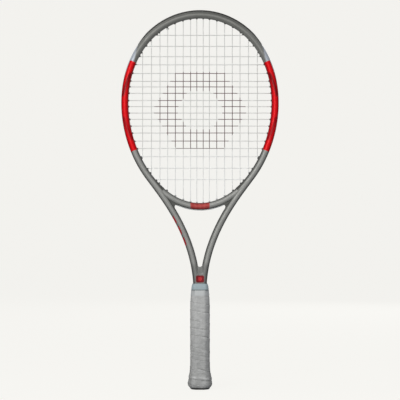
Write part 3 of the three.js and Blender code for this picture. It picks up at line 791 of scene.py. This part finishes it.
def build_grip():
    """A cushioned strip wound up the handle, each turn lapping the one above."""
    count = 192
    half, z = grip_surface()
    turn = np.linspace(0, 1, count, endpoint=False)
    level = z[:, None]
    above, below = wrap_laps(level, turn)
    seam = SEAM_DEPTH * np.exp(-((below / 0.8) ** 2))
    lap = LAP_RISE * np.exp(-above / 5)
    wave = np.sin(level * 1.1 + 2.5 * np.sin(4 * np.pi * turn)) * np.sin(level * 0.23 + 9 * turn)
    pull = np.sin(level * 1.25 + 22 * turn) * np.exp(-(((level - 67) / 13) ** 2))
    ripple = np.sin(level * 1.7) * np.exp(-(((level - 38) / 6) ** 2))
    middle = BUTT_BAND_Z - BUTT_BAND_TILT * np.cos(2 * np.pi * turn)
    band = 1 / (1 + np.abs((level - middle) / 2.6) ** 6)
    crease = np.exp(-(((level - middle + 4.0) / 0.8) ** 2))
    fade = np.interp(z, [GRIP_FOOT_Z, 7, 166, 170], [0.1, 1, 1, 0])[:, None]
    relief = lap - seam + 0.1 * wave + 0.22 * pull + 0.14 * ripple
    relief += BUTT_BAND_RISE * band - BUTT_CREASE_DEPTH * crease
    outer = half[:, None] + (relief - 0.3) * fade
    bore_half, bore_z = np.array([(15.35, GRIP_TOP_Z), *GRIP_BORE, (16.4, GRIP_FOOT_Z + 0.1)]).T
    rings = handle_rings(outer, z, octagon(count, GRIP_HARDNESS))
    inner = handle_rings(bore_half[:, None], bore_z, octagon(count, MOULDED_HARDNESS))
    piece = ring_piece("grip_wrap", np.concatenate([rings, inner]), 50, True)
    # Masks for painted light: lip is a painted highlight just below each lap line and on the band at the
    # butt, shade is painted shade just above each lap line and in the crease under the band.
    lip = np.exp(-above / 1.1) + np.exp(-(((level - middle) / 1.8) ** 2)) * 0.8
    shade = np.exp(-((below / 1.0) ** 2)) + crease
    for key, mask in (("lip", lip), ("shade", shade)):
        store(piece, key, np.concatenate([(mask * fade).ravel(), np.zeros(len(bore_z) * count)]))
    return piece


def build_tape():
    """The finishing tape, its lower edge a little uneven."""
    count = 120
    angle = turn_angles(count)
    half, z = np.array(TAPE_PROFILE).T
    rings = handle_rings(half[:, None], z, octagon(count, TAPE_HARDNESS))
    foot = np.clip(1 - (z - z[1]) / 4, 0, 1)[:, None]
    rings[:, :, 2] += foot * (0.7 * np.sin(angle + 0.6) + 0.35 * np.sin(3 * angle + 1))
    return ring_piece("tape", rings, 40, True)


def build_collar():
    """A soft rubber sleeve that hides the top of the tape."""
    bore = rounded(mirrored(COLLAR_BORE), 3.0, 5)
    rings = [np.insert(bore * [wide, deep], 2, z, axis=1) for wide, deep, z in COLLAR_RINGS]
    return ring_piece("collar_rubber", rings, 50, True)


# ---- materials


def colour(red, green, blue):
    """A linear colour from one written as screen values."""
    def linear(value):
        share = value / 255
        return share / 12.92 if share <= 0.04045 else ((share + 0.055) / 1.055) ** 2.4
    return (linear(red), linear(green), linear(blue), 1.0)


class Surface:
    """A procedural material under construction round one Principled shader."""

    def __init__(self, name, **constants):
        self.material = bpy.data.materials.new(name)
        self.material.use_nodes = True
        self.tree = self.material.node_tree
        self.shader = self.tree.nodes["Principled BSDF"]
        for key, value in constants.items():
            self.shader.inputs[key.replace("_", " ")].default_value = value
        metres = self.add("ShaderNodeTexCoord", {}).outputs["Object"]
        self.place = self.stretched(metres, (1 / MM,) * 3)

    def fill(self, node, values):
        """Links or sets each of these sockets."""
        for key, value in values.items():
            if isinstance(value, bpy.types.NodeSocket):
                self.tree.links.new(value, node.inputs[key])
            else:
                node.inputs[key].default_value = value

    def add(self, kind, values):
        node = self.tree.nodes.new(kind)
        self.fill(node, values)
        return node

    def stretched(self, place, scale):
        node = self.add("ShaderNodeVectorMath", {0: place, 1: scale})
        node.operation = "MULTIPLY"
        return node.outputs["Vector"]

    def math(self, operation, a, b=0.0):
        node = self.add("ShaderNodeMath", {0: a, 1: b})
        node.operation = operation
        return node.outputs[0]

    def step(self, value, low, high, from_value=0.0, to_value=1.0):
        """Eases from one value to another as the input runs from low to high."""
        node = self.add("ShaderNodeMapRange", {"Value": value, "From Min": low, "From Max": high,
                                               "To Min": from_value, "To Max": to_value})
        node.interpolation_type = "SMOOTHSTEP"
        return node.outputs["Result"]

    def spread(self, noise, low, high):
        """Stretches the middle of a noise over a range."""
        return self.step(noise, 0.3, 0.7, low, high)

    def band(self, value, low, high, soft):
        """1 between low and high, 0 outside, with soft edges."""
        rise = self.step(value, low - soft, low + soft)
        fall = self.step(value, high - soft, high + soft, 1.0, 0.0)
        return self.times(rise, fall)

    def times(self, *masks):
        product = masks[0]
        for mask in masks[1:]:
            product = self.math("MULTIPLY", product, mask)
        return product

    def away(self, value, centre=0.0):
        """How far a value is from another, without its sign."""
        return self.math("ABSOLUTE", self.math("SUBTRACT", value, centre))

    def off_middle(self, value):
        """How far the fraction of a value is from one half."""
        return self.away(self.math("FRACT", value), 0.5)

    def reach(self, a, b, power=2):
        """Length of (a, b), measured squarer than round where the power is above two."""
        total = self.math("ADD", self.math("POWER", a, power), self.math("POWER", b, power))
        return self.math("POWER", total, 1 / power)

    def mix(self, share, a, b):
        node = self.tree.nodes.new("ShaderNodeMix")
        node.data_type = "RGBA"
        self.fill(node, {0: share, 6: a, 7: b})
        return node.outputs[2]

    def attribute(self, name):
        node = self.add("ShaderNodeAttribute", {})
        node.attribute_name = name
        return node.outputs["Fac"]

    def axes(self):
        return self.add("ShaderNodeSeparateXYZ", {0: self.place}).outputs

    def noise(self, scale, detail=3.0, stretch=(1, 1, 1), warp=0.0):
        """Noise whose grain is about 1 / scale millimetres across."""
        return self.add("ShaderNodeTexNoise", {
            "Vector": self.stretched(self.place, stretch), "Scale": scale, "Detail": detail,
            "Distortion": warp}).outputs["Fac"]

    def cells(self, scale):
        cells = self.add("ShaderNodeTexVoronoi", {"Vector": self.place, "Scale": scale})
        return cells.outputs["Distance"]

    def tint(self, value, amount, scale=0.05, detail=4.0):
        """Makes a colour lighter and darker by noise."""
        light = self.spread(self.noise(scale, detail), 1 - amount, 1 + amount)
        return self.add("ShaderNodeHueSaturation", {"Value": light, "Color": value}).outputs["Color"]

    def finish(self, base, roughness, height, bump, depth):
        """Links the colour, roughness and a bump of that strength and depth in millimetres."""
        relief = self.add("ShaderNodeBump", {
            "Strength": bump, "Distance": depth * MM, "Height": height})
        self.fill(self.shader, {"Base Color": base, "Roughness": roughness,
                                "Normal": relief.outputs["Normal"]})
        return self.material


# Frame greys: the lighter one is a painted highlight on the lower frame and the bridge's faces; the two
# edge greys are painted shade, and the darker also colours the band round the outer half of the top of
# the head.
GREY_DARK = colour(122, 122, 117)
GREY_HIGHLIGHT = colour(148, 148, 143)
GREY_SHAFT = colour(122, 122, 118)
EDGE_SHADE_AND_WRAP_GREY = colour(84, 84, 80)
TOP_EDGE_SHADE = colour(126, 126, 120)
RED = colour(216, 6, 16)
# The deep red is painted shade at the panels' edges.
RED_EDGE_SHADE = colour(156, 4, 14)
RED_SHADE = colour(104, 0, 8)
RED_THIN = colour(196, 60, 66)
SILVER_BLUE = colour(182, 188, 196)
MAROON = colour(120, 25, 30)
ROSE = colour(180, 44, 48)
BAR_RED = colour(176, 24, 34)
SCUFFED = colour(170, 168, 162)
LACQUER = {"Metallic": 0.2, "Specular_IOR_Level": 0.12, "Coat_Weight": 0.06, "Coat_Roughness": 0.2}

# The panel's ends, from angles of the head, and the streaks between them: share of the panel's
# length, shift, length, lean, half width, depth and colour.
PANEL_START = along_at(30.7)
PANEL_END = along_at(-24.7)
PANEL_STREAKS = [
    (0.26, 0.0, 44.0, 0.15, 2.4, 0.85, RED_SHADE), (0.26, 6.0, 30.0, 0.105, 0.45, 0.51, RED_THIN),
    (0.75, 0.0, 44.0, -0.15, 2.4, 0.6, RED_SHADE), (0.75, 6.0, 30.0, -0.105, 0.45, 0.36, RED_THIN),
]
FRINGE_FOOT_Z = 592.0
FRINGE_TOP_Z = 632.0
FRINGE_TAIL_Z = 572.0
ARM_BARS = ((268, 282), (288, 302), (308, 320))
EMBLEM_Z = 200.0
EMBLEM_HALF_WIDTH = 7.4
EMBLEM_HALF_HEIGHT = 6.4
EMBLEM_DISC = 3.65
PATCH_HALF = 17.2
HATCH_PITCH = 2.3
STENCIL_Z = 505.0
STENCIL_HALF_WIDTH = 86.5
STENCIL_HALF_HEIGHT = 69.5
STENCIL_OPENING = 0.5
PERFORATION_COLUMNS = 22
PERFORATION_PITCH = 5.4
COLUMN_WIDTH = 5.2


def red_panel(s, along, across):
    """Colour of a side panel: bright along the middle, with painted shade deepening the red at the edges,
    and dark diagonals.
    """
    away = s.away(across)
    # Painted shade: the red deepens towards both edges of the face.
    base = s.mix(s.step(away, 3.0, 6.4), RED, RED_EDGE_SHADE)
    for share, shift, length, lean, half, depth, shade in PANEL_STREAKS:
        centre = PANEL_START + (PANEL_END - PANEL_START) * share + shift
        local = s.math("SUBTRACT", along, centre)
        off = s.math("SUBTRACT", across, s.times(local, lean))
        ends = s.band(local, -length / 2, length / 2, 3.0)
        base = s.mix(s.times(ends, s.band(off, -half, half, 0.5), depth), base, shade)
    return base


def paint_finish(s, base, edges):
    """Satin lacquer with a fine grain, lightly scuffed where an edge is rubbed."""
    scuff = s.times(s.step(s.noise(0.35, 6, (1, 1, 0.4), 0.4), 0.62, 0.72), edges)
    base = s.tint(s.mix(s.times(scuff, 0.3), base, SCUFFED), 0.07, 2.2, 2.0)
    rough = s.math("ADD", s.spread(s.noise(0.12, 4), 0.40, 0.52), s.times(scuff, 0.2))
    return s.finish(s.tint(base, 0.04), rough, s.noise(0.9, 4), 0.2, 0.03)


def frame_paint():
    """Grey, with painted shade darkening the edges and a painted highlight lightening all but the top,
    with the red panels and the other marks.
    """
    s = Surface("frame_paint", **LACQUER)
    x, _, z = s.axes()
    along, across = s.attribute("along"), s.attribute("across")
    away = s.away(across)
    # Painted highlight: the face is lighter below the top of the head. Painted shade darkens the face's
    # edges.
    upper = s.step(z, 430, 590)
    shaft = s.step(z, THROAT_FOOT_Z - 6, THROAT_FOOT_Z + 6, 1.0, 0.0)
    grey = s.mix(shaft, s.mix(upper, GREY_HIGHLIGHT, GREY_DARK), GREY_SHAFT)
    edge = s.mix(shaft, s.step(away, 2.4, 5.8), s.step(across, 2.4, 5.0))
    base = s.mix(edge, grey, s.mix(upper, EDGE_SHADE_AND_WRAP_GREY, TOP_EDGE_SHADE))
    wrapped = s.times(s.step(across, 0.5, 2.5), s.step(z, 640, 676), 0.75)
    base = silver_fringe(s, s.mix(wrapped, base, EDGE_SHADE_AND_WRAP_GREY), z, across)
    silver_rim = s.times(s.step(z, 560, 590), s.step(across, 4.6, 5.8))
    red = s.mix(silver_rim, red_panel(s, along, across), SILVER_BLUE)
    panel = s.band(along, PANEL_START, PANEL_END, 0.25)
    base = arm_marks(s, s.mix(panel, base, red), x, z, across)
    return paint_finish(s, emblem(s, base, x, z), s.step(away, 4.5, 6.4))


def silver_fringe(s, base, z, across):
    """Silver-blue on the outer edge that widens from the bumper's end down to the panel's top."""
    inside = s.math("SUBTRACT", across, s.step(z, FRINGE_FOOT_Z, FRINGE_TOP_Z, -1.5, 7.0))
    wide = s.times(s.step(z, FRINGE_FOOT_Z - 14, FRINGE_FOOT_Z), s.step(inside, -1.2, 2.0))
    narrow = s.times(s.band(z, FRINGE_TAIL_Z, FRINGE_FOOT_Z, 8.0), s.step(across, 4.2, 5.4))
    return s.mix(s.times(s.math("MAXIMUM", wide, narrow), 0.9), base, SILVER_BLUE)


def arm_marks(s, base, x, z, across):
    """Three plain slanted bars on the outer half of the left arm."""
    left = s.step(x, -20, -19, 1.0, 0.0)
    outer = s.band(across, 3.2, 6.2, 0.35)
    slant = s.math("ADD", z, s.times(across, 1.6))
    for low, high in ARM_BARS:
        base = s.mix(s.times(left, outer, s.band(slant, low, high, 0.5)), base, BAR_RED)
    return base


def emblem(s, base, x, z):
    """A plain rounded square with a paler disc on the shaft."""
    dx, dz = s.away(x), s.away(z, EMBLEM_Z)
    square = s.reach(s.math("DIVIDE", dx, EMBLEM_HALF_WIDTH), s.math("DIVIDE", dz, EMBLEM_HALF_HEIGHT), 5)
    base = s.mix(s.step(square, 0.96, 1.04, 1.0, 0.0), base, MAROON)
    disc = s.step(s.reach(dx, dz), EMBLEM_DISC - 0.25, EMBLEM_DISC + 0.25, 1.0, 0.0)
    return s.mix(disc, base, ROSE)


def bridge_paint():
    """The frame's grey, with painted shade on the sides, a painted highlight on the faces, and a red
    patch of plain hatching over the middle of the bridge.
    """
    s = Surface("bridge_paint", **LACQUER)
    x, y, _ = s.axes()
    depth = s.away(y)
    # Painted shade darkens the sides of the bridge and a painted highlight lightens its front and back
    # faces.
    base = s.mix(s.step(depth, 7.5, 9.8), EDGE_SHADE_AND_WRAP_GREY, GREY_HIGHLIGHT)
    hatch = s.band(s.off_middle(s.math("DIVIDE", x, HATCH_PITCH)), 0.0, 0.2, 0.08)
    inside = s.times(hatch, s.step(depth, 8.2, 9.2), 0.45)
    red = s.mix(inside, colour(158, 34, 32), colour(226, 150, 142))
    # Painted shade darkens the patch's red towards the sides as well.
    red = s.mix(s.step(depth, 7.6, 9.0), colour(110, 34, 32), red)
    patch = s.step(s.away(x), PATCH_HALF - 0.3, PATCH_HALF + 0.3, 1.0, 0.0)
    return paint_finish(s, s.mix(patch, base, red), s.step(depth, 8.5, 7.0))


def moulded(name, base_colour, rough=0.55):
    """Injection-moulded nylon: faint grain, scuffs and uneven gloss."""
    s = Surface(name, Specular_IOR_Level=0.4)
    scuff = s.step(s.noise(0.5, 6, (1, 1, 1), 0.6), 0.6, 0.75)
    base = s.mix(s.times(scuff, 0.25), base_colour, colour(170, 168, 168))
    shine = s.spread(s.noise(0.1, 3), rough - 0.08, rough + 0.08)
    return s.finish(s.tint(base, 0.12), shine, s.noise(2.5, 5), 0.35, 0.05)


def string_gut():
    """Pale glossy string, darkened where the hexagonal ring was rolled on."""
    s = Surface("string_gut", Specular_IOR_Level=0.5, Coat_Weight=0.3)
    x, _, z = s.axes()
    run = s.math("DIVIDE", s.away(x), STENCIL_HALF_WIDTH)
    rise = s.math("DIVIDE", s.away(z, STENCIL_Z), STENCIL_HALF_HEIGHT)
    hexagon = s.math("MAXIMUM", rise, s.math("ADD", run, s.times(rise, 0.5)))
    ring = s.band(hexagon, STENCIL_OPENING, 1.0, 0.01)
    ink = s.times(ring, s.step(s.noise(0.6, 4), 0.2, 0.5, 0.8, 1.0))
    clear = s.mix(s.noise(0.8, 4), colour(204, 204, 198), colour(222, 222, 216))
    clear = s.mix(s.step(z, 400, 460, 0.75, 0.0), clear, colour(246, 246, 242))
    base = s.mix(ink, clear, colour(78, 30, 34))
    return s.finish(base, s.spread(s.noise(0.5, 3), 0.3, 0.45), s.noise(3.0, 4), 0.2, 0.03)


def grip_leather():
    """Synthetic leather strip: pores, creases and rows of perforations, with a painted highlight on each
    lap's lip and painted shade in the seams, the perforations and on the side facets.
    """
    s = Surface("grip_leather", Specular_IOR_Level=0.3, Sheen_Weight=0.08)
    x, y, z = s.axes()
    turn = s.math("DIVIDE", s.math("ARCTAN2", y, x), 2 * math.pi)
    column = s.off_middle(s.times(turn, PERFORATION_COLUMNS))
    row = s.off_middle(s.math("ADD", s.math("DIVIDE", z, PERFORATION_PITCH), s.times(turn, 4.0)))
    hole = s.reach(s.times(row, PERFORATION_PITCH), s.times(column, COLUMN_WIDTH))
    pit = s.step(hole, 0.5, 0.85, 1.0, 0.0)
    patches = s.step(s.noise(0.11, 4, (1, 1, 1.6), 0.8), 0.35, 0.65)
    upper = s.step(z, 30, 170)
    worn = s.mix(upper, colour(158, 158, 155), colour(178, 178, 175))
    fresh = s.mix(upper, colour(174, 174, 171), colour(192, 192, 189))
    base = s.mix(patches, worn, fresh)
    broken = s.step(s.noise(0.12, 3), 0.35, 0.6, 0.25, 1.0)
    # Painted highlight on each lap's lip, and painted shade in each seam.
    base = s.mix(s.times(s.attribute("lip"), broken, 0.75), base, colour(214, 214, 211))
    base = s.mix(s.times(s.attribute("shade"), broken, 0.6), base, colour(96, 96, 93))
    # Painted shade in the perforations.
    base = s.mix(s.times(pit, 0.25), base, colour(110, 110, 108))
    crease = s.noise(0.25, 5, (1, 1, 2.6), 1.4)
    base = s.mix(s.times(s.step(crease, 0.55, 0.7), 0.28), base, colour(116, 115, 111))
    # Painted shade on the side facets, which turn away from the lamps.
    side_facet_shade = s.step(s.away(x), 14.5, 17.5)
    base = s.mix(s.times(side_facet_shade, 0.4), base, colour(112, 110, 105))
    height = s.math("ADD", s.times(s.cells(1.1), 0.35), s.times(crease, 0.9))
    height = s.math("SUBTRACT", height, pit)
    rough = s.spread(s.noise(0.08, 4), 0.62, 0.78)
    return s.finish(s.tint(base, 0.04), rough, height, 0.6, 0.3)


def plain_tape():
    """Thin vinyl tape with faint stretch lines."""
    s = Surface("tape_vinyl", Specular_IOR_Level=0.45)
    lines = s.noise(0.6, 4, (1, 1, 6))
    base = s.mix(lines, colour(178, 180, 178), colour(194, 196, 194))
    return s.finish(base, s.spread(lines, 0.4, 0.55), lines, 0.3, 0.08)


def collar_rubber():
    """Soft blue-grey rubber, slightly dusty, with a darker foot."""
    s = Surface("collar_rubber", Specular_IOR_Level=0.4)
    z = s.axes()[2]
    base = s.mix(s.step(z, 180.4, 182.4), colour(132, 142, 142), colour(156, 172, 175))
    base = s.mix(s.times(s.noise(0.3, 5), 0.2), base, colour(182, 192, 194))
    rough = s.spread(s.noise(0.4, 3), 0.5, 0.65)
    return s.finish(s.tint(base, 0.05), rough, s.noise(1.6, 5), 0.35, 0.08)


def foam():
    """Expanded handle foam with closed cells."""
    s = Surface("handle_foam")
    cells = s.cells(1.4)
    base = s.mix(cells, colour(205, 190, 150), colour(224, 212, 176))
    return s.finish(s.tint(base, 0.08), s.step(cells, 0, 0.6, 0.95, 0.8), cells, 0.6, 0.2)


def steel():
    """Drawn staple wire."""
    s = Surface("staple_steel", Metallic=1.0)
    lines = s.noise(1.5, 4, (6, 6, 0.6))
    base = s.mix(lines, colour(168, 170, 174), colour(206, 208, 210))
    return s.finish(base, s.spread(lines, 0.25, 0.4), lines, 0.3, 0.03)


# ---- assembly


def paint(piece, material):
    piece.data.materials.clear()
    piece.data.materials.append(material)


def place(piece, body, material, slot, *nodes):
    """Paints a finished piece, puts it on its body, and shows it in place of its CAD nodes."""
    paint(piece, material)
    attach(piece, body)
    if nodes:
        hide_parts(*nodes)


def build_racket():
    guard = moulded("guard_nylon", colour(76, 74, 73))
    pale = moulded("guard_pale", colour(190, 192, 190))
    cap = moulded("cap_plastic", colour(66, 65, 63), 0.45)
    gut = string_gut()
    place(build_frame(), "racket", frame_paint(), "frame_paint", "frame")
    place(build_bridge(), "racket", bridge_paint(), "frame_paint", "bridge")
    place(build_bumper(), "racket", guard, "guard", "bumper_guard")
    sides = [("right", STRIP_ROWS, RIGHT_HOLES), ("left", mirror(STRIP_ROWS)[::-1], LEFT_HOLES)]
    for side, rows, holes in sides:
        strip = build_strip(f"side_strip_{side}", GUARD_LIP, rows, holes)
        place(strip, "racket", guard, "guard", f"grommet_strip_{side}")
    strip = build_strip("bridge_strip", BRIDGE_LIP, bridge_rows(BRIDGE_STRIP_END, 25), [BRIDGE_HOLES])
    place(strip, "racket", pale, "guard", "bridge_grommet_strip")
    place(tube("mains", main_route(), STRING_RADIUS), "racket", gut, "string", "main_string")
    place(tube("crosses", cross_route(), STRING_RADIUS), "racket", gut, "string", "cross_string")
    place(build_knot(), "racket", gut, "string")
    place(build_grip(), "racket", grip_leather(), "grip", "grip")
    place(build_tape(), "racket", plain_tape(), "tape", "finishing_tape")
    place(build_collar(), "collar", collar_rubber(), "collar_rubber", "collar")
    place(octagonal("butt_cap_shell", CAP_PROFILE), "racket", cap, "cap", "butt_cap")
    place(octagonal("butt_cap_lid", LID_PROFILE), "door", cap, "cap", "butt_cap_door")
    padding = foam()
    for node in ("pallet_front", "pallet_back", "leg_foam_left", "leg_foam_right"):
        paint(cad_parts[node], padding)
    wire = steel()
    for node in ("butt_cap_staple_left", "butt_cap_staple_right", "grip_tack"):
        paint(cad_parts[node], wire)


# ---- floor, light and camera

PHOTO_HEIGHT = 724.0
PHOTO_MIDDLE_Z = 342.5
LENS = 200.0
SENSOR = 36.0
BACKGROUND = colour(242, 241, 237)
BACKDROP_RADIUS = 9000.0
BACKDROP_HEIGHT = 12000.0
BACKDROP_CURVE = 2500.0
BACKDROP_GLOW = 1.09
BACKDROP_GLOW_SHARE = 0.9
# Name, place, watts and size of each soft box.
LAMPS = [
    ("key", (-1000, -3000, 1300), 64, 1500),
    ("fill", (600, -3200, 0), 13, 2000),
    ("top", (-400, -300, 2300), 8, 1200),
    ("back", (900, 3000, 1300), 22, 1800),
]


def backdrop():
    """A round pale cyclorama: a floor that sweeps up into a wall on every side, evenly lit."""
    sides = 64
    angles = np.linspace(0, np.pi / 2, 24)
    floor_end = BACKDROP_RADIUS - BACKDROP_CURVE
    radius = [400.0, 3000.0, *(floor_end + BACKDROP_CURVE * np.sin(angles)), BACKDROP_RADIUS]
    level = np.array([0.0, 0.0, *(BACKDROP_CURVE * (1 - np.cos(angles))), BACKDROP_HEIGHT])
    turn = turn_angles(sides)
    points = np.stack([np.outer(radius, np.cos(turn)), np.outer(radius, np.sin(turn)),
                       np.repeat(level[:, None], sides, axis=1)], axis=2)
    floor = new_piece("backdrop", points.reshape(-1, 3), ring_faces(len(radius), sides)[:-1])
    s = Surface("backdrop_paper")
    base = s.mix(s.noise(0.02, 3), colour(226, 225, 221), colour(230, 229, 225))
    s.finish(base, 0.9, s.noise(0.5, 3), 0.05, 0.1)
    glow = s.add("ShaderNodeEmission", {"Color": BACKGROUND, "Strength": BACKDROP_GLOW})
    both = s.add("ShaderNodeMixShader", {
        0: BACKDROP_GLOW_SHARE, 1: s.shader.outputs[0], 2: glow.outputs[0]})
    s.fill(s.tree.nodes["Material Output"], {"Surface": both.outputs[0]})
    floor.data.materials.append(s.material)
    floor.visible_diffuse = False
    floor.visible_glossy = False


def soft_light(name, place_mm, watts, size_mm):
    """A square soft box aimed at the middle of the racket."""
    light = bpy.data.lights.new(name, "AREA")
    light.energy = watts
    light.size = size_mm * MM
    lamp = shown(name, light)
    lamp.location = Vector(place_mm) * MM
    aim = Vector((0, 0, PHOTO_MIDDLE_Z * MM)) - lamp.location
    lamp.rotation_euler = aim.to_track_quat("-Z", "Y").to_euler()


def lights():
    for lamp in LAMPS:
        soft_light(*lamp)
    world = bpy.data.worlds.new("studio")
    world.use_nodes = True
    sky = world.node_tree.nodes["Background"].inputs
    sky["Color"].default_value = (0.9, 0.93, 1.0, 1.0)
    sky["Strength"].default_value = 0.3
    bpy.context.scene.world = world


def camera():
    """A long lens, square on, with the whole racket standing upright in the frame."""
    data = bpy.data.cameras.new("camera")
    data.lens = LENS
    data.sensor_width = SENSOR
    data.clip_end = 100
    eye = shown("camera", data)
    distance = PHOTO_HEIGHT * LENS / SENSOR
    eye.location = (0, -distance * MM, PHOTO_MIDDLE_Z * MM)
    eye.rotation_euler = (math.pi / 2, 0, 0)
    bpy.context.scene.camera = eye


bpy.context.scene.view_settings.view_transform = "Standard"
build_racket()
backdrop()
lights()
camera()
